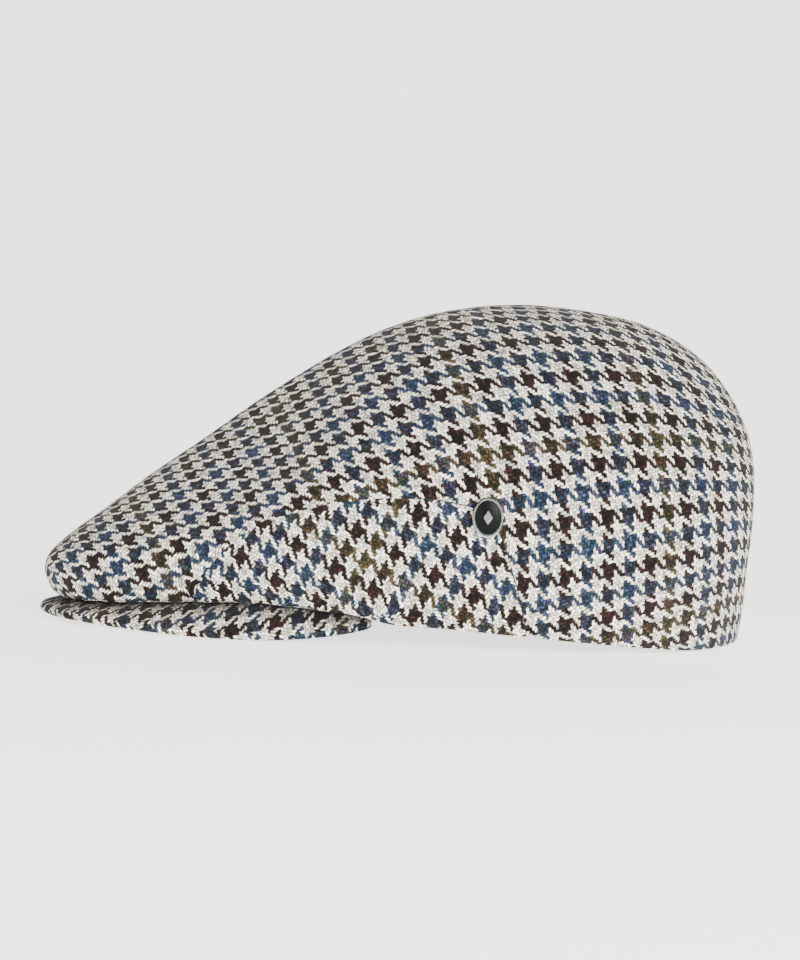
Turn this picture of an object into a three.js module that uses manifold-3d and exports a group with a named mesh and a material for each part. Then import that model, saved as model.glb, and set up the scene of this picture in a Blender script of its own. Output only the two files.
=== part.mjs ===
// A tweed flat cap at rest on a table: a cloth crown in one piece, a stiff cloth-covered visor
// and a small oval badge on the wearer's left side. Millimetres, +Z up, front towards -Y.

import * as THREE from 'three';
import { mergeVertices } from 'three/addons/utils/BufferGeometryUtils.js';
import Module from 'manifold-3d';

// Head opening: an oval round the origin, measured outside the cloth.
const headFront = 102.6;
const headBack = 102.1;
const headHalfWidth = 80;
const headRoundness = 1.95;

// Crown: its reach from the middle of the head opening, and its cloth.
const lipReach = 168.4;
const backReach = 105.2;
const sideReach = 86;
const crownHeight = 127;
const clothWall = 2.4;

// Visor: from the middle of the head opening to its tip, and its curve.
const visorReach = 168.9;
const visorHalfWidth = 76;
const visorRoundness = 2.1;
const visorEnd = 39;
const visorThickness = 3.4;
const visorTipHeight = 5.35;
const visorSlope = 0.222;
const visorArch = 16;
const visorDroop = 9.8;

// Hem: it lies flat behind hemFlatFrom and lifts towards the visor's ends.
const hemLift = 8.8;
const hemFlatFrom = 80;

// Badge: an oval on the left side, its middle above the table and behind the crown's middle.
const badgeHeight = 49.5;
const badgeBack = 1.5;
const badgeWide = 11.4;
const badgeTall = 14.8;
const badgeThick = 1.7;
const badgeRim = 0.75;
const badgeFloor = 0.6;
const enamelRise = 0.7;
const markWide = 3.4;
const markTall = 5.2;
const markThick = 0.4;
const rivetRadius = 0.8;
const rivetHeadRadius = 3.6;
const rivetHeadThick = 0.7;

// Clearances between pieces.
const sewnGap = 0.3;
const badgeGap = 0.3;
const inlayGap = 0.15;

// Mesh fineness.
const aroundCount = 72;
const stepsPerFold = 2;
const underSteps = 4;
const visorStations = 48;
const visorSteps = 7;

// Folds of the crown from its edge to its top, a row for each. front, back and side are shares of
// the reach that way, middle a share of backReach, the heights shares of crownHeight.
// roundFront, roundSide and roundBack are the exponents of the fold's oval; 2 is an ellipse.
const folds = [
  { name: 'lip', front: 0.998, frontHeight: 0.138, side: 0.977, sideHeight: 0.210, back: 0.986, backHeight: 0.235, middle: 0, roundFront: 2.05, roundSide: 1.6, roundBack: 2.9 },
  { name: 'ridge', front: 0.981, frontHeight: 0.203, side: 0.992, sideHeight: 0.300, back: 0.997, backHeight: 0.336, middle: 0, roundFront: 2.05, roundSide: 1.68, roundBack: 3.0 },
  { name: 'slope foot', front: 0.868, frontHeight: 0.324, side: 1.000, sideHeight: 0.390, back: 1.000, backHeight: 0.440, middle: 0, roundFront: 1.8, roundSide: 1.7, roundBack: 3.0 },
  { name: 'slope low', front: 0.757, frontHeight: 0.444, side: 0.983, sideHeight: 0.477, back: 0.997, backHeight: 0.540, middle: 0, roundFront: 1.5, roundSide: 1.72, roundBack: 2.9 },
  { name: 'slope', front: 0.646, frontHeight: 0.549, side: 0.942, sideHeight: 0.555, back: 0.974, backHeight: 0.630, middle: 0, roundFront: 1.37, roundSide: 1.7, roundBack: 2.8 },
  { name: 'slope high', front: 0.536, frontHeight: 0.661, side: 0.884, sideHeight: 0.633, back: 0.937, backHeight: 0.705, middle: 0.01, roundFront: 1.34, roundSide: 1.7, roundBack: 2.7 },
  { name: 'shoulder', front: 0.428, frontHeight: 0.760, side: 0.826, sideHeight: 0.703, back: 0.888, backHeight: 0.770, middle: 0.04, roundFront: 1.36, roundSide: 1.7, roundBack: 2.6 },
  { name: 'brow', front: 0.324, frontHeight: 0.847, side: 0.755, sideHeight: 0.780, back: 0.806, backHeight: 0.848, middle: 0.08, roundFront: 1.48, roundSide: 1.78, roundBack: 2.5 },
  { name: 'top edge', front: 0.222, frontHeight: 0.916, side: 0.640, sideHeight: 0.870, back: 0.692, backHeight: 0.912, middle: 0.12, roundFront: 1.7, roundSide: 1.85, roundBack: 2.4 },
  { name: 'top', front: 0.085, frontHeight: 0.975, side: 0.400, sideHeight: 0.955, back: 0.530, backHeight: 0.966, middle: 0.16, roundFront: 2, roundSide: 2, roundBack: 2.2 },
];
const apexBack = 0.16;

// Dents and puffs of the crown: where on the folds and round the crown they lie, how far they
// spread, and how far the cloth stands out there as a share of sideReach.
const dents = [
  { name: 'shoulder edge', fold: 3.5, foldSpread: 2.2, angle: 61, angleSpread: 9, out: 0.045 },
  { name: 'hollow above it', fold: 3.5, foldSpread: 2.2, angle: 38, angleSpread: 13, out: -0.055 },
  { name: 'hollow over the visor', fold: 1.2, foldSpread: 0.8, angle: 78, angleSpread: 10, out: -0.020 },
];

const tweed = new THREE.MeshStandardMaterial({ color: 0x8b8782, roughness: 0.95, metalness: 0 });
const tweedVisor = new THREE.MeshStandardMaterial({ color: 0x86827d, roughness: 0.95, metalness: 0 });
const silver = new THREE.MeshStandardMaterial({ color: 0xb9bdbf, roughness: 0.25, metalness: 1 });
const enamel = new THREE.MeshStandardMaterial({ color: 0x10160f, roughness: 0.2, metalness: 0 });

const toRadians = THREE.MathUtils.degToRad;

// A signed power keeps the sign of its base, which a superellipse needs.
function signedPower(base, exponent) {
  return Math.sign(base) * Math.abs(base) ** exponent;
}

// A point of an oval whose front, back and half width differ; the angle runs from the front.
// Its front half is as round as roundFront in the middle and roundSide towards the sides.
function ovalPoint(angle, shape) {
  const forward = Math.cos(angle);
  const aside = THREE.MathUtils.smoothstep(Math.abs(Math.sin(angle)), 0.35, 0.87);
  const roundness = forward > 0
    ? shape.roundFront + (shape.roundSide - shape.roundFront) * aside
    : shape.roundBack;
  const reach = forward > 0 ? shape.front + shape.middle : shape.back - shape.middle;
  const x = shape.side * signedPower(Math.sin(angle), 2 / roundness);
  const y = shape.middle - reach * signedPower(forward, 2 / roundness);
  return new THREE.Vector2(x, y);
}

// Height of the visor's upper face: it climbs towards the head, falls to both sides and droops
// along its side edges.
function visorTop(x, y) {
  const out = x / visorHalfWidth;
  const fall = visorArch * out ** 2 + visorDroop * out ** 6;
  return visorTipHeight + visorSlope * (y + visorReach) - fall;
}

// Height of the free hem behind the visor.
function freeHem(y) {
  const share = THREE.MathUtils.clamp((y + visorEnd) / (visorEnd + hemFlatFrom), 0, 1);
  return hemLift * (1 - share ** 1.3);
}

// The crevice's ribs meet the head opening this much further forward, in radians.
const creviceTurn = 0.22;

// Oval of the head opening, and the crevice where the crown leaves the visor.
const headOval = {
  front: headFront, back: headBack, side: headHalfWidth, middle: 0,
  roundFront: headRoundness, roundSide: headRoundness, roundBack: 2.15,
};
const creviceOval = {
  front: lipReach - 5.6, back: headBack + 1.6, side: headHalfWidth + 1.6, middle: 0,
  roundFront: 2, roundSide: 1.5, roundBack: 2.5,
};

// 1 before the middle of the head opening and 0 behind it.
function front(angle) {
  return Math.cos(angle) > 0 ? Math.sign(Math.sin(angle)) : 0;
}

// A point of the cloth that lies on the visor in front and stands up as a wall behind it.
// share runs from the head opening, 0, to the crevice, 1.
function underFoldPoint(angle, share) {
  const inner = ovalPoint(angle - creviceTurn * Math.sin(2 * angle) ** 2 * front(angle), headOval);
  const outer = ovalPoint(angle, creviceOval);
  const flat = inner.clone().lerp(outer, share);
  const onVisor = visorTop(flat.x, flat.y) + sewnGap;
  const wallHeight = freeHem(flat.y) + share * crownHeight * 0.12;
  const start = -visorEnd + 6 - share * 16;
  const leaving = THREE.MathUtils.smoothstep(flat.y, start, -visorEnd + 12 + share * 8);
  return new THREE.Vector3(flat.x, flat.y, onVisor + (wallHeight - onVisor) * leaving);
}

// A point of one fold of the table, its height blended round the crown.
function foldPoint(angle, fold) {
  const flat = ovalPoint(angle, {
    front: fold.front * lipReach,
    back: fold.back * backReach,
    side: fold.side * sideReach,
    middle: fold.middle * backReach,
    roundFront: fold.roundFront,
    roundSide: fold.roundSide,
    roundBack: fold.roundBack,
  });
  const endHeight = Math.cos(angle) > 0 ? fold.frontHeight : fold.backHeight;
  const share = Math.sin(angle) ** 2;
  const height = crownHeight * (endHeight + (fold.sideHeight - endHeight) * share);
  return new THREE.Vector3(flat.x, flat.y, height);
}

// How far the cloth stands out at one place, from the table of dents; both sides are alike.
function dentAt(fold, angle) {
  const turn = Math.abs(THREE.MathUtils.radToDeg(Math.atan2(Math.sin(angle), Math.cos(angle))));
  let out = 0;
  for (const dent of dents) {
    const along = (fold - dent.fold) / dent.foldSpread;
    const around = (turn - dent.angle) / dent.angleSpread;
    out += dent.out * Math.exp(-along * along - around * around);
  }
  return out * sideReach;
}

// Points from the crevice to the last fold at one angle.
function ribPoints(angle) {
  return [underFoldPoint(angle, 1), ...folds.map((fold) => foldPoint(angle, fold))];
}

// Points from the cloth's edge to just before the crevice at one angle.
function underFoldRow(angle) {
  const row = [];
  for (let i = 0; i < underSteps; i += 1) row.push(underFoldPoint(angle, i / underSteps));
  return row;
}

// The crown's outer surface as rows of points, from its edge to the apex. Each hoop runs from
// one crevice over the apex to the crevice opposite.
function crownGrid() {
  const grid = [];
  const apex = new THREE.Vector3(0, apexBack * backReach, crownHeight);
  for (let j = 0; j < aroundCount / 2; j += 1) {
    const angle = (2 * Math.PI * j) / aroundCount;
    const near = ribPoints(angle);
    const far = ribPoints(angle + Math.PI).reverse();
    const hoop = new THREE.CatmullRomCurve3([...near, apex, ...far], false, 'centripetal');
    const half = near.length * stepsPerFold;
    const points = hoop.getPoints(2 * half);
    grid[j] = [...underFoldRow(angle), ...points.slice(0, half + 1)];
    grid[j + aroundCount / 2] = [...underFoldRow(angle + Math.PI), ...points.slice(half).reverse()];
  }
  return grid;
}

// Outward direction at each point of a grid that is closed round and meets at an apex.
function gridNormals(grid) {
  const last = grid[0].length - 1;
  return grid.map((rib, j) => rib.map((point, i) => {
    if (i === last) return new THREE.Vector3(0, 0, 1);
    const next = grid[(j + 1) % grid.length][i];
    const previous = grid[(j + grid.length - 1) % grid.length][i];
    const above = rib[Math.min(i + 1, last)];
    const below = rib[Math.max(i - 1, 0)];
    const around = new THREE.Vector3().subVectors(next, previous);
    const up = new THREE.Vector3().subVectors(above, below);
    return around.cross(up).normalize();
  }));
}

// The dents move the cloth along its outward direction; what lies on the visor stays.
function dentedGrid(grid) {
  const normals = gridNormals(grid);
  return grid.map((rib, j) => rib.map((point, i) => {
    const fold = (i - underSteps) / stepsPerFold;
    const angle = (2 * Math.PI * j) / aroundCount;
    const free = THREE.MathUtils.smoothstep(fold, 0.5, 1.5);
    return point.clone().addScaledVector(normals[j][i], free * dentAt(fold, angle));
  }));
}

// Where the inner side of the fold on the visor lies: above it, and further in where the fold
// is narrow and at the crevice, 0 to 1. Behind the visor the cloth stands up, so it lies level.
function underFoldInward(rib, point, crevice) {
  const inward = new THREE.Vector3(-point.x, -point.y * 0.3, 0).normalize();
  const level = THREE.MathUtils.smoothstep(point.y, -visorEnd - 4, -visorEnd + 10);
  const width = rib[0].distanceTo(rib[underSteps]);
  const narrow = THREE.MathUtils.clamp(1.2 - width / (6 * clothWall), 0, 1);
  const direction = new THREE.Vector3(0, 0, 1 - level);
  return direction.addScaledVector(inward, Math.max(level, narrow, crevice)).normalize();
}

// The inner side of the cloth.
function innerGrid(grid) {
  const normals = gridNormals(grid);
  return grid.map((rib, j) => rib.map((point, i) => {
    if (i > underSteps) return point.clone().addScaledVector(normals[j][i], -clothWall);
    const crevice = i === underSteps ? 1 : 0;
    const reach = clothWall * (1 + 0.3 * crevice);
    return point.clone().addScaledVector(underFoldInward(rib, point, crevice), reach);
  }));
}

// A closed body from rows of points and triangles.
function bodyFrom(points, triangles) {
  const geometry = new THREE.BufferGeometry();
  const positions = points.flatMap((point) => [point.x, point.y, point.z]);
  geometry.setAttribute('position', new THREE.Float32BufferAttribute(positions, 3));
  geometry.setIndex(triangles);
  return geometry;
}

// The cloth shell: outer side, inner side and the edge between them.
function crownGeometry() {
  const outer = dentedGrid(crownGrid());
  const inner = innerGrid(outer);
  const rows = outer[0].length;
  const points = [];
  const triangles = [];
  for (const grid of [outer, inner]) {
    for (const rib of grid) points.push(...rib.slice(0, rows - 1));
  }
  const ribSize = rows - 1;
  const outerApex = points.length;
  points.push(outer[0][rows - 1]);
  const innerApex = points.length;
  points.push(inner[0][rows - 1]);
  const at = (side, j, i) => (side * aroundCount + (j % aroundCount)) * ribSize + i;
  for (let j = 0; j < aroundCount; j += 1) {
    for (let i = 0; i < ribSize - 1; i += 1) {
      const a = at(0, j, i);
      const b = at(0, j + 1, i);
      const c = at(0, j + 1, i + 1);
      const d = at(0, j, i + 1);
      triangles.push(a, b, c, a, c, d);
      const e = at(1, j, i);
      const f = at(1, j + 1, i);
      const g = at(1, j + 1, i + 1);
      const h = at(1, j, i + 1);
      triangles.push(e, g, f, e, h, g);
    }
    triangles.push(at(0, j, ribSize - 1), at(0, j + 1, ribSize - 1), outerApex);
    triangles.push(at(1, j + 1, ribSize - 1), at(1, j, ribSize - 1), innerApex);
    triangles.push(at(0, j, 0), at(1, j, 0), at(1, j + 1, 0));
    triangles.push(at(0, j, 0), at(1, j + 1, 0), at(0, j + 1, 0));
  }
  return bodyFrom(points, triangles);
}

// One section of the visor at a station from one end, -1, to the other, 1: along the upper
// face, round the outer edge and back along the lower face, which is pressed flat on the table.
function visorSection(station) {
  const headEndAngle = Math.acos((visorEnd / headFront) ** (headRoundness / 2));
  const inner = ovalPoint(station * headEndAngle, headOval);
  const outer = ovalPoint(station * Math.PI / 2, {
    front: visorReach - visorEnd, back: 0, side: visorHalfWidth, middle: 0,
    roundFront: visorRoundness, roundSide: visorRoundness, roundBack: 2,
  });
  outer.y -= visorEnd;
  const radius = visorThickness / 2;
  const edge = outer.clone().sub(inner);
  const width = edge.length();
  edge.normalize();
  const points = [];
  const add = (distance, drop) => {
    const flat = inner.clone().addScaledVector(edge, distance);
    const height = Math.max(visorTop(flat.x, flat.y) - drop, 0);
    points.push(new THREE.Vector3(flat.x, flat.y, height));
  };
  const flatWidth = Math.max(width - radius, width * 0.5);
  const round = width - flatWidth;
  for (let i = 0; i <= visorSteps; i += 1) add((flatWidth * i) / visorSteps, 0);
  for (const turn of [30, 60, 90, 120, 150]) {
    add(flatWidth + round * Math.sin(toRadians(turn)), radius * (1 - Math.cos(toRadians(turn))));
  }
  for (let i = visorSteps; i >= 0; i -= 1) add((flatWidth * i) / visorSteps, visorThickness);
  return points;
}

function visorGeometry() {
  const sections = [];
  for (let k = 0; k <= visorStations; k += 1) {
    sections.push(visorSection((2 * k) / visorStations - 1));
  }
  const size = sections[0].length;
  const points = sections.flat();
  const triangles = [];
  for (let k = 0; k < visorStations; k += 1) {
    for (let i = 0; i < size; i += 1) {
      const next = (i + 1) % size;
      const a = k * size + i;
      const b = k * size + next;
      const c = (k + 1) * size + next;
      const d = (k + 1) * size + i;
      triangles.push(a, b, c, a, c, d);
    }
  }
  for (const [first, flip] of [[0, false], [visorStations * size, true]]) {
    for (let i = 0; i < size / 2 - 1; i += 1) {
      const quad = [first + i, first + i + 1, first + size - 2 - i, first + size - 1 - i];
      const cap = [quad[0], quad[2], quad[1], quad[0], quad[3], quad[2]];
      triangles.push(...(flip ? cap.reverse() : cap));
    }
  }
  return bodyFrom(points, triangles);
}

// The crown's left side where the badge sits: a point and the outward direction there.
function badgeSeat(grid) {
  const normals = gridNormals(grid);
  let best = null;
  grid.forEach((rib, j) => rib.forEach((point, i) => {
    if (point.x < sideReach / 2 || i < 2) return;
    const distance = Math.hypot(point.y - badgeBack, point.z - badgeHeight);
    if (!best || distance < best.distance) best = { distance, j, i };
  }));
  const normal = normals[best.j][best.i].clone();
  const point = grid[best.j][best.i].clone();
  const slide = new THREE.Vector3(0, badgeBack - point.y, badgeHeight - point.z);
  slide.x = -(slide.y * normal.y + slide.z * normal.z) / normal.x;
  return { point: point.add(slide), normal };
}

// How far the cloth stands proud of the seat's plane under the badge.
function seatRise(grid, seat) {
  let rise = 0;
  for (const point of grid.flat()) {
    const offset = point.clone().sub(seat.point);
    const height = offset.dot(seat.normal);
    const flat = offset.addScaledVector(seat.normal, -height).length();
    if (flat < badgeTall * 0.8 && height > rise && point.x > 0) rise = height;
  }
  return rise;
}

// A turned profile of radius and height, made oval by the badge's proportions.
function ovalLathe(profile, segments = 40) {
  const points = profile.map(([radius, height]) => new THREE.Vector2(radius, height));
  const geometry = new THREE.LatheGeometry(points, segments);
  geometry.rotateX(Math.PI / 2);
  geometry.scale(1, badgeTall / badgeWide, 1);
  return geometry;
}

// Welded, position-only copy of a geometry.
function welded(geometry) {
  const plain = new THREE.BufferGeometry();
  plain.setAttribute('position', geometry.getAttribute('position'));
  if (geometry.index) plain.setIndex(geometry.index);
  return mergeVertices(plain, 1e-5);
}

const wasm = await Module();
wasm.setup();

function toManifold(geometry) {
  const clean = welded(geometry);
  const mesh = new wasm.Mesh({
    numProp: 3,
    vertProperties: new Float32Array(clean.getAttribute('position').array),
    triVerts: new Uint32Array(clean.index.array),
  });
  return new wasm.Manifold(mesh);
}

function fromManifold(body) {
  const mesh = body.getMesh();
  const geometry = new THREE.BufferGeometry();
  geometry.setAttribute('position', new THREE.Float32BufferAttribute(mesh.vertProperties, 3));
  geometry.setIndex([...mesh.triVerts]);
  return geometry;
}

// A named mesh with flat shading normals worked out from its faces.
function piece(name, geometry, material) {
  const mesh = new THREE.Mesh(welded(geometry), material);
  mesh.geometry.computeVertexNormals();
  mesh.name = name;
  return mesh;
}

const crownSurface = dentedGrid(crownGrid());
const seat = badgeSeat(crownSurface);
const proud = seatRise(crownSurface, seat) + badgeGap;
const towardsOut = new THREE.Quaternion().setFromUnitVectors(new THREE.Vector3(0, 0, 1), seat.normal);
const upright = new THREE.Quaternion();
{
  // The badge's tall side stands up the crown.
  const tall = new THREE.Vector3(0, 1, 0).applyQuaternion(towardsOut);
  const up = new THREE.Vector3(0, 0, 1);
  up.addScaledVector(seat.normal, -up.dot(seat.normal)).normalize();
  const turn = Math.atan2(tall.clone().cross(up).dot(seat.normal), tall.dot(up));
  upright.setFromAxisAngle(seat.normal, turn).multiply(towardsOut);
}

// The badge's pieces lie along its own axis, outward along +Z, the cloth's outer face at 0.
const half = badgeWide / 2;
const bowl = half - badgeRim;
const rimProfile = [
  [0, proud], [half - 0.3, proud], [half, proud + 0.3], [half, proud + badgeThick - 0.4],
  [half - 0.3, proud + badgeThick], [bowl + 0.1, proud + badgeThick], [bowl, proud + badgeThick - 0.1],
  [bowl, proud + badgeFloor], [0, proud + badgeFloor],
];
const pool = bowl - inlayGap;
const poolFloor = proud + badgeFloor + inlayGap;
const poolTop = proud + badgeThick - 0.25;
const enamelProfile = [[0, poolFloor], [pool, poolFloor], [pool, poolTop]];
for (const share of [0.85, 0.6, 0.3]) {
  enamelProfile.push([pool * share, poolTop + enamelRise * (1 - share * share)]);
}
enamelProfile.push([0, poolTop + enamelRise]);

function markGeometry() {
  const outline = new THREE.Shape();
  outline.moveTo(0, markTall / 2);
  outline.lineTo(-markWide / 2, 0);
  outline.lineTo(0, -markTall / 2);
  outline.lineTo(markWide / 2, 0);
  outline.closePath();
  const geometry = new THREE.ExtrudeGeometry(outline, { depth: markThick, bevelEnabled: false });
  geometry.translate(0, 0, poolTop + enamelRise + inlayGap);
  return geometry;
}

function rivetGeometry() {
  const inside = -clothWall - badgeGap;
  const profile = [
    [0, inside - rivetHeadThick], [rivetHeadRadius, inside - rivetHeadThick],
    [rivetHeadRadius, inside], [rivetRadius, inside], [rivetRadius, proud - inlayGap],
    [0, proud - inlayGap],
  ];
  const points = profile.map(([radius, height]) => new THREE.Vector2(radius, height));
  const geometry = new THREE.LatheGeometry(points, 20);
  geometry.rotateX(Math.PI / 2);
  return geometry;
}

function onSeat(geometry) {
  geometry.applyQuaternion(upright);
  geometry.translate(seat.point.x, seat.point.y, seat.point.z);
  return geometry;
}

const hole = new THREE.CylinderGeometry(rivetRadius + badgeGap, rivetRadius + badgeGap, 4 * clothWall, 16);
hole.rotateX(Math.PI / 2);
hole.translate(0, 0, -clothWall / 2);
const crownBody = toManifold(crownGeometry()).subtract(toManifold(onSeat(hole)));

const cap = new THREE.Group();
cap.add(piece('crown', fromManifold(crownBody), tweed));
cap.add(piece('visor', visorGeometry(), tweedVisor));
cap.add(piece('badge_rim', onSeat(ovalLathe(rimProfile)), silver));
cap.add(piece('badge_enamel', onSeat(ovalLathe(enamelProfile)), enamel));
cap.add(piece('badge_mark', onSeat(markGeometry()), silver));
cap.add(piece('badge_rivet', onSeat(rivetGeometry()), silver));

// The origin is the middle of the bounding box, on the table.
const bounds = new THREE.Box3().setFromObject(cap);
const middle = bounds.getCenter(new THREE.Vector3());
cap.position.set(-middle.x, -middle.y, -bounds.min.z);

export default cap;
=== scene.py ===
# %% [markdown]
# # A flat cap in houndstooth tweed
# The cap comes in as a fixed frame of plain solids: crown, visor and badge. Every later cell gives
# one of those solids its real cloth, metal or enamel, in the same place and in metres.

# %% Load the frame
import math

import bpy
import numpy as np
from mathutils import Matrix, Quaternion, Vector
from mathutils.bvhtree import BVHTree
from mathutils.kdtree import KDTree


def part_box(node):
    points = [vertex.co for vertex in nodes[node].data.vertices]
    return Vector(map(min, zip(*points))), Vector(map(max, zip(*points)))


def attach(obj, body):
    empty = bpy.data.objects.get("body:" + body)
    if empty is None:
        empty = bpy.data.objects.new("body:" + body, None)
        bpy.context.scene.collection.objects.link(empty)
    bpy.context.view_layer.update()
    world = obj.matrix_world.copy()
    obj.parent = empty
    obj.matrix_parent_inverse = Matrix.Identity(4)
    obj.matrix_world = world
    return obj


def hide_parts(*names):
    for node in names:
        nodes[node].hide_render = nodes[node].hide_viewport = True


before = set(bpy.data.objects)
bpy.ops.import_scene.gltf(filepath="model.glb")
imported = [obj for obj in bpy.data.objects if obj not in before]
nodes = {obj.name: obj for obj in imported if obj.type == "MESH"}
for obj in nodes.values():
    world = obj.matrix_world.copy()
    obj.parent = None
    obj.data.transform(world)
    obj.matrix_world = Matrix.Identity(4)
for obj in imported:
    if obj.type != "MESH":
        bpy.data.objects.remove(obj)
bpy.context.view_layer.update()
MM = 0.001
MIDDLE_X = -1.534 * MM  # the cap's own middle plane; the badge makes the whole box lopsided
print("frame nodes:", sorted(nodes))

# %% [markdown]
# ## Camera
# The picture is a level side view from about 1.2 m away, a few degrees above the table. A long lens
# keeps the cap's outline close to a drawing. The camera is rolled by two degrees, which is how the
# photographer held it. `picture_point` says where a point in space lands in the picture, so that
# places seen there can be found again on the cloth.

# %% Camera
FRAME_WIDE, FRAME_HIGH = 800, 960
PIXEL_MM = 0.388
SENSOR_MM = 36.0
target = Vector((0.0, 0.001, 0.0572))
distance, elevation, roll = 1.240, math.radians(3.2), math.radians(2.1)
camera_place = target + distance * Vector((math.cos(elevation), 0.0, math.sin(elevation)))
camera_turn = (target - camera_place).to_track_quat("-Z", "Y") @ Quaternion((0, 0, 1), roll)

camera_data = bpy.data.cameras.new("camera")
camera_data.sensor_fit = "VERTICAL"
camera_data.sensor_height = SENSOR_MM
camera_data.lens = SENSOR_MM * distance / (FRAME_HIGH * PIXEL_MM * MM)
camera = bpy.data.objects.new("camera", camera_data)
camera.location = camera_place
camera.rotation_mode = "QUATERNION"
camera.rotation_quaternion = camera_turn
bpy.context.scene.collection.objects.link(camera)
bpy.context.scene.camera = camera
to_camera = np.array(camera_turn.to_matrix().transposed())
focal_px = distance / (PIXEL_MM * MM)


def picture_point(places):
    """Where points in space land in the picture, in its pixels, right and down."""
    seen = (np.asarray(places) - np.array(camera_place)) @ to_camera.T
    scale = focal_px / -seen[:, 2:3]
    return np.c_[FRAME_WIDE / 2 + seen[:, 0:1] * scale, FRAME_HIGH / 2 - seen[:, 1:2] * scale]


print("lens", round(camera_data.lens, 1), "mm; middle lands at", picture_point([target]).round(1))

# %% [markdown]
# ## Paper
# A product picture like this one is taken on white paper that curves up behind the object, so no
# horizon shows. The paper starts as a flat sheet. Its far edge is spun upwards in a quarter circle
# and then pulled straight up. It glows a little, as paper does in a light tent.

# %% Floor and backdrop
SWEEP_RADIUS, FLOOR_DEPTH, FLOOR_WIDE, WALL_HIGH = 0.8, 1.2, 4.0, 2.0
FLOOR_DROP = 0.3 * MM  # the paper lies just under the cap, so the two never share a surface


def select_only(thing):
    bpy.ops.object.select_all(action="DESELECT")
    thing.select_set(True)
    bpy.context.view_layer.objects.active = thing


def set_inputs(shader, values):
    for label, value in values.items():
        shader.inputs[label].default_value = value


bpy.ops.object.select_all(action="DESELECT")
bpy.ops.mesh.primitive_plane_add(size=1.0, location=(0, 0, -FLOOR_DROP))
floor = bpy.context.object
floor.name = "paper_floor"
floor.scale = (2 * FLOOR_DEPTH, FLOOR_WIDE, 1)
bpy.ops.object.transform_apply(location=True, rotation=False, scale=True)
bpy.ops.object.mode_set(mode="EDIT")
bpy.ops.mesh.select_mode(type="EDGE")
bpy.ops.mesh.select_all(action="DESELECT")
bpy.ops.object.mode_set(mode="OBJECT")
for edge in floor.data.edges:
    edge.select = all(floor.data.vertices[v].co.x < -FLOOR_DEPTH * 0.99 for v in edge.vertices)
bpy.ops.object.mode_set(mode="EDIT")
bpy.ops.mesh.spin(steps=24, angle=-math.pi / 2, center=(-FLOOR_DEPTH, 0, SWEEP_RADIUS),
                  axis=(0, 1, 0))
bpy.ops.mesh.extrude_region_move(TRANSFORM_OT_translate={"value": (0, 0, WALL_HIGH)})
bpy.ops.object.mode_set(mode="OBJECT")
bpy.ops.object.shade_smooth()

paper = bpy.data.materials.new("white_paper")
paper.use_nodes = True
set_inputs(paper.node_tree.nodes["Principled BSDF"], {
    "Base Color": (0.9, 0.9, 0.9, 1), "Roughness": 0.9,
    "Emission Color": (1, 1, 1, 1), "Emission Strength": 1.8,
})
floor.data.materials.append(paper)
wall_top = max(v.co.z for v in floor.data.vertices)
print("paper reaches", round(wall_top, 2), "m up behind the cap")

# %% [markdown]
# ## Light
# One large soft light stands on the camera's right, a weaker one fills from the left, and a strip
# behind lifts the edge of the wool. The room itself adds very little.

# %% Room and lights
LIGHTS = [  # name, place, size, watts
    ("key", (1.5, 0.7, 0.6), (0.8, 0.8), 56),
    ("fill", (1.5, -1.0, 0.4), (0.8, 0.6), 16),
    ("rim", (-0.6, 0.5, 1.0), (1.4, 0.5), 2),
]
LIT_POINT = Vector((0, 0, 0.05))

world = bpy.context.scene.world or bpy.data.worlds.new("studio")
bpy.context.scene.world = world
world.use_nodes = True
set_inputs(world.node_tree.nodes["Background"], {"Color": (1, 1, 1, 1), "Strength": 0.08})
for name, stand, size, watts in LIGHTS:
    lamp = bpy.data.lights.new(name, "AREA")
    lamp.shape = "RECTANGLE"
    lamp.size, lamp.size_y = size
    lamp.energy = watts
    holder = bpy.data.objects.new(name, lamp)
    holder.location = stand
    holder.rotation_euler = (LIT_POINT - Vector(stand)).to_track_quat("-Z", "Y").to_euler()
    bpy.context.scene.collection.objects.link(holder)
print("room and", len(LIGHTS), "lights are in place")

# %% [markdown]
# ## The crown's cloth
# The crown is one thick piece of wool. The frame's solid has its main folds but is faceted, so the
# cloth starts as a copy of it: loose triangles are merged and paired into quads. Quads matter,
# because the subdivision that comes later turns long triangles into ripples.

# %% Copy the crown
MERGE_GAP = 0.02 * MM
PAIR_ANGLE = math.radians(60)
CORE_Y, CORE_Z = [-0.070, -0.020, 0.060], [0.020, 0.034, 0.046]  # the middle of the hollow


def cloth_copy(node, name):
    mesh = nodes[node].data.copy()
    mesh.materials.clear()
    piece = bpy.data.objects.new(name, mesh)
    bpy.context.scene.collection.objects.link(piece)
    select_only(piece)
    bpy.ops.object.mode_set(mode="EDIT")
    bpy.ops.mesh.select_all(action="SELECT")
    bpy.ops.mesh.remove_doubles(threshold=MERGE_GAP)
    bpy.ops.mesh.tris_convert_to_quads(face_threshold=PAIR_ANGLE, shape_threshold=PAIR_ANGLE)
    bpy.ops.object.mode_set(mode="OBJECT")
    return piece


def numbers_of(items, label, width=3):
    """One label of all vertices or faces, as an array with a row for each."""
    flat = np.empty(len(items) * width)
    items.foreach_get(label, flat)
    return flat.reshape(-1, width)


def unit(vectors):
    return vectors / np.maximum(np.linalg.norm(vectors, axis=1), 1e-9)[:, None]


def outward(places):
    """The way out of the cap at each point: away from a line through the middle of its hollow."""
    along = np.clip(places[:, 1], CORE_Y[0], CORE_Y[-1])
    core = np.c_[np.full(len(places), MIDDLE_X), along, np.interp(along, CORE_Y, CORE_Z)]
    return unit(places - core)


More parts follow.
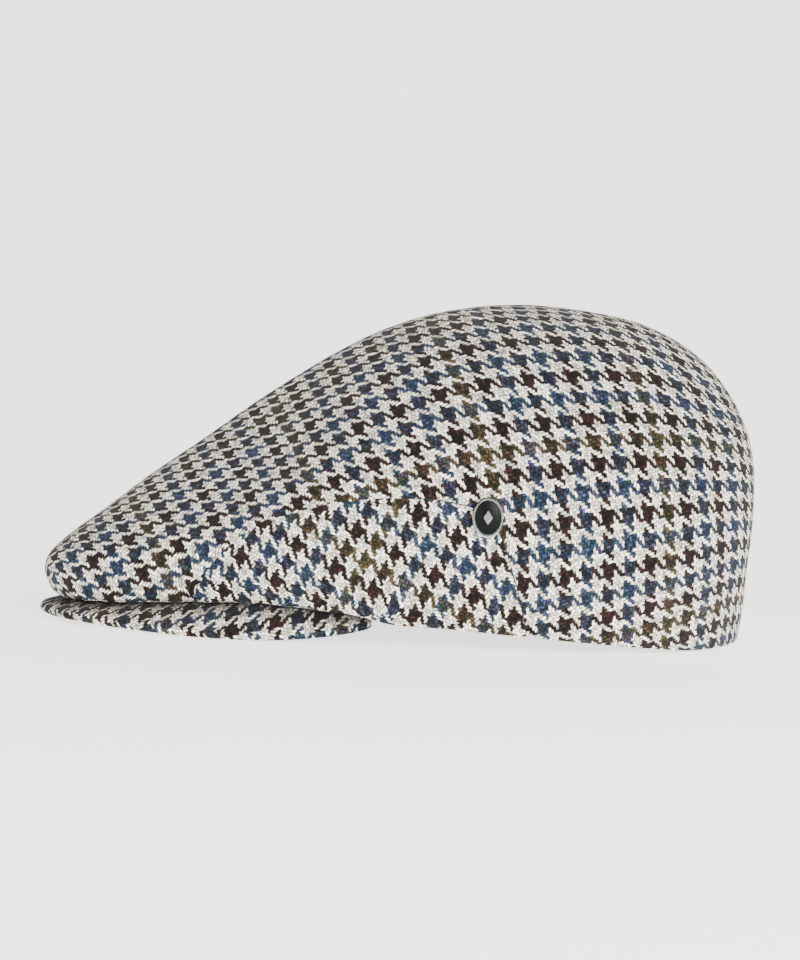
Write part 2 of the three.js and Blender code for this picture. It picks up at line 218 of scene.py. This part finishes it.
crown = cloth_copy("crown", "crown_cloth")
base = numbers_of(crown.data.vertices, "co")
quads = sum(len(face.vertices) == 4 for face in crown.data.polygons)
print("crown:", len(base), "vertices,", len(crown.data.polygons), "faces, of them quads:", quads)

# %% [markdown]
# ## Where the cloth was cut
# The picture shows two directions of weave on this side. The top panel's rows follow the crown from
# front to back. Below the shoulder crease and in front of a dart, the side panel's rows are turned
# by about fifty degrees. The border between them is marked here as picture points. Points on the
# far side are folded over to the badge side first, so that both sides get one pattern.

# %% The side panel's border
side_border = np.array([
    (531, 665), (524, 620), (517, 588), (509, 560), (503, 541), (494, 522), (470, 506), (432, 499),
    (381, 498), (335, 503), (300, 511), (270, 519), (245, 533), (222, 551), (206, 572), (196, 590),
    (190, 612), (230, 640), (300, 665),
], dtype=float)
NEAR_MIDDLE = 30 * MM  # close to the middle plane, up to here, there is no side panel


def border_distance(points, border):
    """Signed distance in pixels from picture points to a closed outline, positive inside."""
    nearest = np.full(len(points), np.inf)
    inside = np.zeros(len(points), bool)
    for start, end in zip(border, np.roll(border, -1, axis=0)):
        run = end - start
        along = np.clip(((points - start) @ run) / (run @ run), 0, 1)
        gap = np.linalg.norm(points - start - along[:, None] * run, axis=1)
        nearest = np.minimum(nearest, gap)
        crosses = (start[1] > points[:, 1]) != (end[1] > points[:, 1])
        at = start[0] + (points[:, 1] - start[1]) * run[0] / (run[1] or 1e-9)
        inside ^= crosses & (points[:, 0] < at)
    return np.where(inside, nearest, -nearest)


def on_badge_side(places):
    folded = np.array(places)
    folded[:, 0] = MIDDLE_X + np.abs(folded[:, 0] - MIDDLE_X)
    return folded


def side_panel_distance(places):
    """Millimetres to the border, positive inside the side panel."""
    folded = on_badge_side(places)
    distance_px = border_distance(picture_point(folded), side_border)
    share = (folded[:, 0] - MIDDLE_X) / NEAR_MIDDLE
    limit_px = np.where(share < 1, np.clip(share, 0, 1) * 60 - 40, np.inf)
    return np.minimum(distance_px, limit_px) * PIXEL_MM


panel = side_panel_distance(base)
print("vertices in the side panels:", int((panel > 0).sum()), "of", len(base))

# %% [markdown]
# ## The outer faces
# Only the outside of the wall gets a weave of its own; the inside copies it later. A vertex on a
# sharp edge would have a slanting normal, so the normals used here are added up from outer faces
# alone.

# %% Find the outside and its normals
centre = numbers_of(crown.data.polygons, "center")
face_normal = numbers_of(crown.data.polygons, "normal")
outer = np.einsum("ij,ij->i", face_normal, outward(centre)) > 0.25
outer &= ~((face_normal[:, 2] < -0.75) & (centre[:, 2] < 0.03))  # the hem's underside is not outer

corner = np.array([v for face in crown.data.polygons for v in face.vertices])
corners_each = [len(face.vertices) for face in crown.data.polygons]
face_of = np.repeat(np.arange(len(corners_each)), corners_each)
on_outside = outer[face_of]
normals = outward(base) * 0.001
np.add.at(normals, corner[on_outside], face_normal[face_of[on_outside]])
normals = unit(normals)
ends = np.array([tuple(edge.vertices) for edge in crown.data.edges])
print("outer faces:", int(outer.sum()), "of", len(outer))

# %% [markdown]
# ## Which way the top panel's threads run
# A weave is straight before the cloth is sewn, and pressing shears it a little. The directions of
# both sets of threads were measured in the picture at nineteen places. Three more places, (150,
# 525), (650, 450) and (530, 570), were not measured: their angles are a judgement. The rows at
# (710, 560) are written one degree steeper than they were measured. At each vertex the places
# near by are averaged, and each angle becomes the direction along the cloth that shows at that
# angle in the picture.

# %% Thread directions, nineteen measured and three judged
grain_table = np.array([  # picture point, then degrees below level: the rows, the columns
    (120, 575, -24, 73), (160, 575, -29, 66), (150, 525, -32, 52), (200, 480, -29, 48),
    (250, 450, -30, 48), (300, 430, -37, 52), (340, 450, -27, 56), (380, 480, -18, 63),
    (420, 440, -23, 70), (500, 360, -11, 61), (500, 450, -9, 76), (560, 380, -8, 66),
    (560, 470, -14, 80), (620, 400, -9, 68), (650, 450, 0, 90), (680, 400, 5, 76),
    (710, 450, 14, 90), (530, 570, -5, 85), (590, 570, -13, 97), (640, 600, -12, 94),
    (680, 610, -24, 97), (710, 560, -38, 87),
], dtype=float)
BLUR_PX = 30


def along_cloth(angle):
    """The direction in the cloth that shows at this angle in the picture."""
    right, up = to_camera[0], to_camera[1]
    drawn = np.cos(angle)[:, None] * right - np.sin(angle)[:, None] * up
    toward = unit(np.array(camera_place) - base)
    return unit(np.cross(np.cross(toward, drawn), normals))


spots = picture_point(base)
near = 1 / (((spots[:, None] - grain_table[None, :, :2]) ** 2).sum(2) + BLUR_PX ** 2) ** 1.5
near /= near.sum(1)[:, None]
rows = along_cloth(np.radians(near @ grain_table[:, 2]))
columns = along_cloth(np.radians(near @ grain_table[:, 3] - 180))
rows *= np.where(rows[:, 1:2] < 0, -1, 1)
columns *= np.where(columns[:, 2:3] < 0, -1, 1)
print("rows at the first vertex run along", rows[0].round(2))

# %% [markdown]
# Where the cloth turns away from the camera, over the top and round the back, nothing could be
# read. There the rows follow the middle line over the top and run level behind. The two sets of
# directions are blended by how far the cloth faces sideways.

# %% Directions that the picture cannot show
level = unit(np.cross([0, 0, 1], normals))
lengthwise = unit(np.cross(normals, [1, 0, 0]))
behind = np.clip((normals[:, 1] - 0.75 * normals[:, 2]) / 0.4 + 0.5, 0, 1)[:, None]
plain_rows = unit(level * behind + lengthwise * (1 - behind))
plain_columns = np.cross(normals, plain_rows)
shown = np.clip((np.abs(normals[:, 0]) - 0.22) / 0.25, 0, 1)[:, None]
rows = unit(rows * shown + plain_rows * (1 - shown))
columns = unit(columns * shown + plain_columns * (1 - shown))
angle = np.degrees(np.arccos(np.clip(np.einsum("ij,ij->i", rows, columns), -1, 1)))
print("rows cross columns at about", int(np.median(angle)), "degrees")

# %% [markdown]
# ## Counting threads
# Every point of the cloth gets two thread numbers. Along each edge of the mesh they should rise by
# as many threads as the edge crosses. No numbers meet all those wishes exactly, so the ones with the
# smallest squared errors are taken, and short edges count more. The middle line over the top is
# held at thread nought, so that the pattern runs on to the far side.

# %% Number the top panel's threads by least squares
THREAD_MM = 1.025
PANEL_OVERLAP = 7  # millimetres that each panel's numbers reach past the border
HOLD = 5.0
has_top = np.zeros(len(base), bool)
has_top[corner[on_outside]] = True
has_top &= (base[:, 0] > MIDDLE_X - 0.2 * MM) & (panel < PANEL_OVERLAP)


def slopes(first, second):
    """The slope along the cloth that is one along the first way and nothing along the second."""
    slope = np.cross(second, normals)
    return slope / np.einsum("ij,ij->i", slope, first)[:, None]


def number_threads(slope, held=None):
    index = np.cumsum(has_top) - 1
    a, b = ends[has_top[ends].all(1)].T
    step = base[b] - base[a]
    rise = np.einsum("ij,ij->i", step, (slope[a] + slope[b]) / 2) / (THREAD_MM * MM)
    weight = 1 / np.linalg.norm(step, axis=1)
    weight /= weight.mean()
    size = int(has_top.sum())
    matrix, sums = np.eye(size) * 1e-6, np.zeros(size)
    for p, q, sign in ((index[a], index[b], 1.0), (index[b], index[a], -1.0)):
        np.add.at(matrix, (p, p), weight)
        np.add.at(matrix, (p, q), -weight)
        np.add.at(sums, p, -sign * weight * rise)
    if held is not None:
        where = index[held & has_top]
        matrix[where, where] += HOLD
    result = np.zeros(len(base))
    result[has_top] = np.linalg.solve(matrix, sums)
    return result


over_top = (np.abs(base[:, 0] - MIDDLE_X) < 0.3 * MM) & (base[:, 2] > 0.03) & (normals[:, 1] < 0.6)
thread_top = np.c_[number_threads(slopes(rows, columns)),
                   number_threads(slopes(columns, rows), over_top)]
print("threads over the top panel:", np.ptp(thread_top[has_top], axis=0).round())

# %% [markdown]
# ## Laying the side panel flat
# The side panel is nearly flat, so an ordinary unwrap can number its threads. It is unwrapped on
# the badge side alone, and scaled so that one unit is one thread.

# %% Unwrap the side panel
side_face = outer & (side_panel_distance(centre) > -PANEL_OVERLAP) & (centre[:, 0] > MIDDLE_X)
layer = crown.data.uv_layers.new(name="flat")
crown.data.uv_layers.active = layer
select_only(crown)
bpy.ops.object.mode_set(mode="EDIT")
bpy.ops.mesh.select_mode(type="FACE")
bpy.ops.mesh.select_all(action="DESELECT")
bpy.ops.object.mode_set(mode="OBJECT")
crown.data.polygons.foreach_set("select", side_face)
bpy.ops.object.mode_set(mode="EDIT")
bpy.ops.uv.unwrap(method="MINIMUM_STRETCH", iterations=60, margin=0.001)
bpy.ops.object.mode_set(mode="OBJECT")
flat = numbers_of(crown.data.uv_layers["flat"].data, "uv", 2)
crown.data.uv_layers.remove(crown.data.uv_layers["flat"])

used = side_face[face_of]
side_uv, side_count = np.zeros((len(base), 2)), np.zeros(len(base))
np.add.at(side_uv, corner[used], flat[used])
np.add.at(side_count, corner[used], 1)
has_side = side_count > 0
side_uv[has_side] /= side_count[has_side, None]
a, b = ends[has_side[ends].all(1)].T
real = np.linalg.norm(base[a] - base[b], axis=1) / MM
laid = np.linalg.norm(side_uv[a] - side_uv[b], axis=1)
side_uv *= np.median(real / laid) / THREAD_MM
print("side panel:", int(has_side.sum()), "vertices laid flat")

# %% [markdown]
# In the picture the side panel's rows run 27 to 29 degrees down to the right, measured at four
# places. The other threads run 48 to 56 degrees up to the right there. They are laid square to the
# rows on the flat panel instead, and show at about 59 degrees. A straight-line fit between picture
# and flat panel, made in the panel's middle, says how far the panel has to be turned for the rows.

# %% Turn the side panel to its grain
SIDE_GRAIN = math.radians(28)


def fit_lines(terms, values):
    return np.linalg.lstsq(terms, values, rcond=None)[0]


def with_one(points):
    return np.c_[points, np.ones(len(points))]


mid_panel = has_side & (np.abs(spots[:, 0] - 400) < 90) & (np.abs(spots[:, 1] - 560) < 45)
fit = fit_lines(with_one(spots[mid_panel]), side_uv[mid_panel])
along = np.array([math.cos(SIDE_GRAIN), math.sin(SIDE_GRAIN)]) @ fit[:2]
across = np.array([math.sin(SIDE_GRAIN), -math.cos(SIDE_GRAIN)]) @ fit[:2]
along /= np.linalg.norm(along)
square = np.array([-along[1], along[0]])
square *= math.copysign(1, across @ square)
start = side_uv[mid_panel].mean(axis=0)
thread_side = np.where(has_side[:, None], (side_uv - start) @ np.c_[along, square], 0)
print("threads over the side panel:", np.ptp(thread_side[has_side], axis=0).round())

# %% [markdown]
# ## Thread numbers for every vertex
# The far side and the inside of the wall read their numbers from the nearest vertices that have
# some, after folding over to the badge side. Round the visor's end the wall turns under too sharply
# to be laid flat, so the weave just above it is carried on straight down.

# %% Fill in the rest and carry the weave round the visor's end
NEIGHBOURS = 4
END_X = 392  # where the visor ends in the picture


def spread(known, values):
    tree = KDTree(int(known.sum()))
    where = np.flatnonzero(known)
    for number, index in enumerate(where):
        tree.insert(base[index], number)
    tree.balance()
    filled, folded = values.copy(), on_badge_side(base)
    for index in np.flatnonzero(~known):
        found = tree.find_n(folded[index], NEIGHBOURS)
        weight = np.array([1 / (gap + 1e-5) ** 2 for _, _, gap in found])
        close = values[where[[number for _, number, _ in found]]]
        filled[index] = (close * weight[:, None]).sum(0) / weight.sum()
    return filled


thread_top = spread(has_top, thread_top)
thread_side = spread(has_side, thread_side)
seen = picture_point(on_badge_side(base))
above_end = has_side & (np.abs(seen[:, 0] - 395) < 45) & (np.abs(seen[:, 1] - 572) < 22)
carry = fit_lines(with_one(seen[above_end]), thread_side[above_end])
from_end = np.abs(seen[:, 0] - END_X)
blend = np.clip((seen[:, 1] - 580) / 10, 0, 1) * np.clip((60 - from_end) / 15, 0, 1)
blend = np.where((from_end < 55) & (seen[:, 1] > 584), blend, 0)[:, None]
thread_side = thread_side * (1 - blend) + with_one(seen) @ carry * blend
print("vertices carried round the visor's end:", int((blend > 0).sum()))

# %% [markdown]
# ## Smoothing
# The numbers are stored on the mesh, so the subdivision surface carries them along while it rounds
# the facets off.

# %% Store the numbers and smooth the crown
def store(mesh, name, values):
    """Keeps one number, or a pair of them, on every vertex."""
    single = values.ndim == 1
    if not single:
        values = np.c_[values, np.zeros(len(values))]
    attribute = mesh.attributes.get(name)
    if attribute is None:
        attribute = mesh.attributes.new(name, "FLOAT" if single else "FLOAT_VECTOR", "POINT")
    plain = np.ascontiguousarray(values, dtype=np.float32).ravel()
    attribute.data.foreach_set("value" if single else "vector", plain)


def smooth(piece, levels):
    select_only(piece)
    finer = piece.modifiers.new("smooth", "SUBSURF")
    finer.levels = finer.render_levels = levels
    bpy.ops.object.modifier_apply(modifier=finer.name)
    bpy.ops.object.shade_smooth()


store(crown.data, "thread_top", thread_top)
store(crown.data, "thread_side", thread_side)
smooth(crown, 2)
print("crown after smoothing:", len(crown.data.polygons), "quads")

# %% [markdown]
# Round the badge's hole the frame has a fan of long faces, and smoothing slides the thread numbers
# along them. Within 40 mm of the hole, on both sides, they are worked out again from a smooth curve
# through the numbers of the corners near by.

# %% Straighten the weave round the badge
CURVE_REACH, BLEND_WIDE, CURVE_FROM = 40 * MM, 10 * MM, 48 * MM
hole = np.array(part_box("badge_rim")).mean(0)


def curve_terms(points):
    y, z = ((points - hole)[:, 1:] / CURVE_REACH).T
    return np.stack([y ** p * z ** q for p in range(4) for q in range(4 - p)], axis=1)


folded = on_badge_side(numbers_of(crown.data.vertices, "co"))
from_hole = np.linalg.norm(folded - hole, axis=1)
share = np.clip((CURVE_REACH - from_hole) / BLEND_WIDE, 0, 1)[:, None]
corners_near = np.linalg.norm(base - hole, axis=1) < CURVE_FROM
for name, values, known in (("thread_top", thread_top, has_top),
                            ("thread_side", thread_side, has_side)):
    fitted = known & corners_near
    curve = fit_lines(curve_terms(base[fitted]), values[fitted])
    kept = numbers_of(crown.data.attributes[name].data, "vector")[:, :2]
    store(crown.data, name, kept * (1 - share) + curve_terms(folded) @ curve * share)
    off = np.abs(curve_terms(base[fitted]) @ curve - values[fitted]).mean()
    print(name, int(fitted.sum()), "corners, off the curve by", off.round(2), "threads")

# %% [markdown]
# ## Folds, crease and seam in the cloth
# Pressed wool keeps soft dents. The vertices are moved in and out of the cap along the way out from
# its hollow, the inner wall together with the outer one, so that the cloth keeps its thickness. The
# crown's edge also reaches down over the visor's end and hides it.

# %% Sculpt the crown
SEAM_DEPTH, SEAM_HALF_MM = 0.6 * MM, 0.9
OVER_END_DOWN, OVER_END_OUT = 2.4 * MM, 1.2 * MM
folds = [  # a line in the picture, its half width in pixels, how far the cloth moves in millimetres
    ([(640, 338), (696, 377), (716, 400), (722, 505), (730, 600)], 8, -0.8),  # down the back
    ([(431, 387), (345, 465), (262, 530)], 12, -0.8),  # between slope and side panel
    ([(262, 500), (232, 535), (205, 572)], 9, -0.8),  # behind the front fold
    ([(75, 546), (130, 552), (188, 556)], 5, 0.45),  # along the front fold
]

place = numbers_of(crown.data.vertices, "co")
way_out = outward(place)
border = side_panel_distance(place)
spot = picture_point(on_badge_side(place))
seam_shows = np.interp(spot[:, 0], [385, 415], [0, 1]) * np.interp(spot[:, 1], [470, 490], [0, 1])
seam_dent = -SEAM_DEPTH * seam_shows * np.exp(-(border / SEAM_HALF_MM) ** 2)
place += way_out * seam_dent[:, None]
for way, width, depth in folds:
    there_and_back = np.array(way + way[-2:0:-1], dtype=float)
    away = border_distance(spot, there_and_back)
    place += way_out * (depth * MM * np.exp(-(away / width) ** 2))[:, None]

over_end = np.exp(-((spot[:, 0] - 385) / 34) ** 2) * np.clip((spot[:, 1] - 588) / 16, 0, 1)
place[:, 2] -= OVER_END_DOWN * over_end
place[:, 0] += np.sign(place[:, 0] - MIDDLE_X) * OVER_END_OUT * over_end
crown.data.vertices.foreach_set("co", place.ravel())
store(crown.data, "side_distance", border)
store(crown.data, "seam_shows", seam_shows)
crown.data.update()
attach(crown, "root")
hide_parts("crown")
print("deepest seam dent", round(float(-seam_dent.min() / MM), 2), "mm")

# %% [markdown]
# ## Shader arithmetic
# A woven pattern is worked out from thread numbers, so it needs a lot of small sums. This class
# wraps one socket; adding or multiplying two of them adds a Math node, which keeps the recipe
# readable. Any other node is added by its one method `node`.

# %% A value that runs through a material
class Value:
    def __init__(self, tree, socket):
        self.tree, self.socket = tree, socket

    def node(self, kind, settings=None, inputs=None, out=0):
        """Adds any node: its settings first, then a number or a link for each socket named."""
        made = self.tree.nodes.new(kind)
        for label, setting in (settings or {}).items():
            if label == "stops":
                set_stops(made.color_ramp, setting)
            else:
                setattr(made, label, setting)
        for label, given in (inputs or {}).items():
            if isinstance(given, Value):
                given.into(made.inputs[label])
            else:
                made.inputs[label].default_value = given
        return Value(self.tree, made.outputs[out])

    def into(self, socket):
        self.tree.links.new(self.socket, socket)

    def sum(self, operation, *others):
        operands = dict(enumerate((self, *others)))
        return self.node("ShaderNodeMath", {"operation": operation}, operands)

    def __add__(self, other):
        return self.sum("ADD", other)

    def __sub__(self, other):
        return self.sum("SUBTRACT", other)

    def __rsub__(self, other):
        return self * -1 + other

    def __mul__(self, other):
        return self.sum("MULTIPLY", other)

    def __truediv__(self, other):
        return self.sum("DIVIDE", other)

    def __mod__(self, other):
        return self.sum("MODULO", other)

    def __lt__(self, other):
        return self.sum("LESS_THAN", other)

    def __gt__(self, other):
        return self.sum("GREATER_THAN", other)

    __radd__, __rmul__ = __add__, __mul__

    def floor(self):
        return self.sum("FLOOR")

    def between(self, off, on):
        """off where this value is 0, on where it is 1."""
        return self.node("ShaderNodeMix", {"data_type": "FLOAT"}, {0: self, 2: off, 3: on})

    def colours(self, off, on, blend="MIX"):
        kind = {"data_type": "RGBA", "blend_type": blend}
        return self.node("ShaderNodeMix", kind, {0: self, 6: off, 7: on}, 2)


def set_stops(ramp, stops):
    """Gives a colour ramp hard steps."""
    ramp.interpolation = "CONSTANT"
    while len(ramp.elements) > 1:
        ramp.elements.remove(ramp.elements[-1])
    for number, (at, colour) in enumerate(stops):
        stop = ramp.elements[0] if number == 0 else ramp.elements.new(at)
        stop.position, stop.color = at, (*colour, 1)


def material(name):
    """A new material and its Principled shader, with a first value to hang sums on."""
    made = bpy.data.materials.new(name)
    made.use_nodes = True
    tree = made.node_tree
    place_node = tree.nodes.new("ShaderNodeTexCoord")
    return made, tree.nodes["Principled BSDF"], Value(tree, place_node.outputs["Object"])


print("the shader class is ready")

# %% [markdown]
# Five small helpers: values kept on the vertices, the parts of a vector, noise in space, white
# noise that gives each stretch of thread one random value of its own, and screen colours.

# %% Helpers for the weave
def attribute(place_of, label, out="Vector"):
    return place_of.node("ShaderNodeAttribute", {"attribute_name": label}, None, out)


def parts(vector):
    return [vector.node("ShaderNodeSeparateXYZ", None, {0: vector}, part) for part in (0, 1)]


def noise(place_of, scale, detail=2.0, out=0):
    inputs = {"Vector": place_of, "Scale": scale, "Detail": detail}
    return place_of.node("ShaderNodeTexNoise", None, inputs, out)


def white_noise(vector, out=0):
    kind = {"noise_dimensions": "3D"}
    return vector.node("ShaderNodeTexWhiteNoise", kind, {"Vector": vector}, out)


def linear(red, green, blue):
    """A screen colour, 0 to 255, as the linear light that a shader works in."""
    parts_of_one = [c / 255 for c in (red, green, blue)]
    return tuple(((c + 0.055) / 1.055) ** 2.4 if c > 0.04 else c / 12.92 for c in parts_of_one)


print("mid grey is", round(linear(128, 128, 128)[0], 3), "in linear light")

# %% [markdown]
# ## Houndstooth tweed
# The check comes from the weave alone. Four light and four dark threads follow each other in both
# directions, and each thread passes over two and under two, one step further on in every row. Dark
# stripes are brown and blue in turn, with one olive in eight. The colour shown at a point is that
# of the thread on top there, so the pointed checks appear by themselves.

# %% The yarns
ECRU, BROWN = linear(240, 232, 216), linear(34, 22, 19)
BLUE, OLIVE = linear(39, 52, 69), linear(59, 53, 34)
DARK_ORDER = [BROWN, BLUE, BROWN, BLUE, BROWN, OLIVE, BROWN, BLUE]
THREADS_A_STRIPE = 4
STRIPE_PAIR = 2 * THREADS_A_STRIPE
CYCLE = STRIPE_PAIR * len(DARK_ORDER)
STRIPES = []
for order, dark in enumerate(DARK_ORDER):
    STRIPES += [(order / len(DARK_ORDER), ECRU), ((order + 0.5) / len(DARK_ORDER), dark)]


def yarn_of(number):
    """A thread's colour, by its place in the order of stripes."""
    return number.node("ShaderNodeValToRGB", {"stops": STRIPES},
                       {0: (number % CYCLE + 0.5) / CYCLE})


print("tweed repeats every", CYCLE, "threads,", round(CYCLE * THREAD_MM), "mm")

# %% [markdown]
# A point's thread numbers come from the mesh. The side panel has its own pair, and the numbers
# counted from the middle line change sign on the far side. Real yarn wanders and is hairy: slow
# noise moves whole threads, fine noise frays their edges, and the loosely spun dark yarn spreads a
# little over the light one.

# %% Thread numbers, wandering and frayed
WANDER = [(160, 3, 2.0), (1700, 2, 1.15)]  # noise scale, detail, threads that it moves
DARK_SWELL = 0.14
KEEP_POSITIVE = 8 * CYCLE


def thread_numbers(place_of, charts):
    """Numbers across and down, and the distance to the seam where the cloth has two charts."""
    far_side = parts(place_of)[0] < MIDDLE_X
    across, down = parts(attribute(place_of, "thread_top"))
    seam = None
    if charts == 2:
        side_across, side_down = parts(attribute(place_of, "thread_side"))
        seam = attribute(place_of, "side_distance", "Fac")
        in_side = seam > 0
        across, down = in_side.between(across, side_across), in_side.between(down, side_down)
    return (across, down * far_side.between(1.0, -1.0)), seam


def frayed(place_of, numbers):
    for scale, detail, reach in WANDER:
        shifts = parts(noise(place_of, scale, detail, 1))
        numbers = [number + (shift - 0.5) * reach for number, shift in zip(numbers, shifts)]
    numbers = [number + KEEP_POSITIVE for number in numbers]
    return [number - (number * (math.pi / THREADS_A_STRIPE)).sum("COSINE") * DARK_SWELL
            for number in numbers]


print("slow noise moves a thread by up to", WANDER[0][2] / 2, "threads either way")

# %% [markdown]
# The twill rule: add the two thread numbers and divide by four. A remainder of nought or one puts
# the thread that runs down on top, two or three the one that runs across. The thread on top bulges
# across its width and along the two crossings that it passes over.

# %% The thread on top
def on_top(u, v):
    """The top thread, the one under it, a name for this stretch, and how high it bulges."""
    i, j = u.floor(), v.floor()
    in_u, in_v = u - i, v - j
    step = (i + j) % 4
    warp = step < 2
    number, under = warp.between(j, i), warp.between(i, j)
    first = warp.between(i - step, j - step)
    stretch = number.node("ShaderNodeCombineXYZ", None, {0: number, 1: first, 2: warp})
    cross = warp.between(in_v, in_u) * 2 - 1
    length = warp.between((step - 2 + in_u) / 2, (step + in_v) / 2) * 2 - 1
    round_cross, round_length = 1 - cross * cross, 1 - length * length
    return number, under, stretch, round_cross, round_cross * 0.5 + round_length * 0.5


print("each thread passes over two and under two")

# %% [markdown]
# Now the wool itself. Where a dark thread crosses a dark one the lower colour shows through. Each
# stretch has its own tone and tint, painted shade darkens the gaps between threads and the ends of
# each float, and the bump follows the bulges. The seam is a thin dark line; on the visor, painted
# shade darkens the cloth close under the crown.

# %% The tweed material
WORN_MOST = 0.7
STITCH_HALF_MM, STITCH_COLOUR = 0.2, (0.02, 0.017, 0.015, 1)


def tweed(name, charts):
    """Houndstooth from thread numbers kept on the vertices; charts is 2 with a side panel."""
    made, shader, place_of = material(name)
    numbers, seam = thread_numbers(place_of, charts)
    number, under, stretch, round_cross, height = on_top(*frayed(place_of, numbers))
    own, own_tint = white_noise(stretch), white_noise(stretch, 1)
    hair, heather = noise(place_of, 2600), noise(place_of, 600, 3)

    both_dark = (number % STRIPE_PAIR > 3.5) * (under % STRIPE_PAIR > 3.5)
    worn = both_dark * ((1 - round_cross) * 0.3 + 0.3 + (hair - 0.5) * 0.6)
    worn = worn.sum("MINIMUM", WORN_MOST).sum("MAXIMUM", 0.0)
    mixed = worn.colours(yarn_of(number), yarn_of(under))
    tinted = (noise(place_of, 300) * 0.5).colours(mixed, own_tint, "SOFT_LIGHT")
    # Painted shade: the square of the bulge darkens the gaps between threads and the ends of each
    # float; own and heather vary the yarn's real tone.
    tone_and_painted_shade = (0.04 + height * height * 1.75) * (0.42 + own * 0.95) * (0.3 + heather * 1.35)
    # On the visor, painted shade: the daylight value darkens the cloth close under the crown.
    if seam is None:
        tone_and_painted_shade = tone_and_painted_shade * attribute(place_of, "daylight", "Fac")
    wool = tinted.node("ShaderNodeVectorMath", {"operation": "SCALE"}, {0: tinted, "Scale": tone_and_painted_shade})
    if seam is not None:
        shows = attribute(place_of, "seam_shows", "Fac")
        stitch = (seam.sum("ABSOLUTE") < STITCH_HALF_MM) * shows
        wool = stitch.colours(wool, STITCH_COLOUR)
    relief = height + (hair - 0.5) * 0.7 + own * 0.25
    bump = height.node("ShaderNodeBump", None,
                       {"Height": relief, "Strength": 0.8, "Distance": 0.45 * MM})
    wool.into(shader.inputs["Base Color"])
    bump.into(shader.inputs["Normal"])
    set_inputs(shader, {
        "Roughness": 0.95, "Specular IOR Level": 0.15, "Sheen Weight": 0.05,
        "Sheen Roughness": 0.5, "Sheen Tint": (0.9, 0.88, 0.85, 1),
    })
    return made


crown.data.materials.append(tweed("crown_tweed", 2))
print("nodes in the crown's tweed:", len(crown.data.materials[0].node_tree.nodes))

# %% [markdown]
# ## The visor
# The visor is a stiff board covered with the same cloth. Its weave is laid from the plan view, rows
# across the cap and columns from front to back, and goes on down over the rim. The side edges are
# moved in where the crown covers them. Every vertex also keeps how much light reaches it, from its
# gap to the crown.

# %% Visor cloth
BOARD_THICK = 3.4 * MM
ARCH_STRETCH = 1.03  # the board is arched, so its cloth is a little wider than its plan
TUCK, TUCK_FROM_PX, TUCK_OVER_PX = 5.0 * MM, 325, 50

visor = cloth_copy("visor", "visor_cloth")
visor_base = numbers_of(visor.data.vertices, "co")
sideways = np.abs(visor_base[:, 0] - MIDDLE_X)
rim_way = unit(np.c_[sideways, visor_base[:, 1] - visor_base[:, 1].max() - 0.01])
faces_up = numbers_of(visor.data.vertices, "normal")[:, 2]
over_rim = BOARD_THICK * np.clip(0.5 - 0.8 * faces_up, 0, 1)
laid = np.c_[visor_base[:, 1] + over_rim * rim_way[:, 1],
             sideways * ARCH_STRETCH + over_rim * rim_way[:, 0]]
store(visor.data, "thread_top", laid / MM / THREAD_MM)
smooth(visor, 2)

board = numbers_of(visor.data.vertices, "co")
board_x = picture_point(on_badge_side(board))[:, 0]
tuck = np.clip((board_x - TUCK_FROM_PX) / TUCK_OVER_PX, 0, 1) ** 2
tuck *= np.clip((np.abs(board[:, 0] - MIDDLE_X) - 0.03) / 0.03, 0, 1)
board[:, 0] -= np.sign(board[:, 0] - MIDDLE_X) * TUCK * tuck
visor.data.vertices.foreach_set("co", board.ravel())
visor.data.update()

crown_tree = BVHTree.FromPolygons([v.co for v in crown.data.vertices],
                                  [face.vertices for face in crown.data.polygons])
gap_mm = np.array([crown_tree.find_nearest(point)[3] for point in board.tolist()]) / MM
# Painted shade for the visor's colour: darkest where the cloth lies close under the crown.
store(visor.data, "daylight", np.clip(0.04 + gap_mm / 10, 0, 1))
visor.data.materials.append(tweed("visor_tweed", 1))
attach(visor, "root")
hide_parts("visor")
print("visor:", len(visor.data.polygons), "quads, widest gap", gap_mm.max().round(), "mm")

# %% [markdown]
# ## The badge
# A small oval of dark enamel in a polished rim. The frame's own solids have the right shape, so
# they keep their place and get their metal and enamel, each a little uneven as real polish is.

# %% Badge finishes
def simple_finish(name, colour, metallic, roughness, spread_of_roughness, scale, gloss=0.5):
    made, shader, place_of = material(name)
    grain = noise(place_of, scale, 3.0)
    rough = grain * spread_of_roughness + (roughness - spread_of_roughness / 2)
    dent = grain.node("ShaderNodeBump", None,
                      {"Height": grain, "Strength": 0.15, "Distance": 0.05 * MM})
    rough.into(shader.inputs["Roughness"])
    dent.into(shader.inputs["Normal"])
    set_inputs(shader, {
        "Base Color": (*colour, 1), "Metallic": metallic, "Specular IOR Level": gloss,
    })
    return made


silver = simple_finish("rim_silver", linear(190, 192, 194), 1.0, 0.16, 0.08, 1800)
enamel = simple_finish("dark_enamel", linear(10, 15, 11), 0.0, 0.35, 0.1, 1200, 0.08)
finishes = {"badge_rim": silver, "badge_enamel": enamel, "badge_mark": silver,
            "badge_rivet": silver}
for node, finish in finishes.items():
    nodes[node].data.materials.clear()
    nodes[node].data.materials.append(finish)
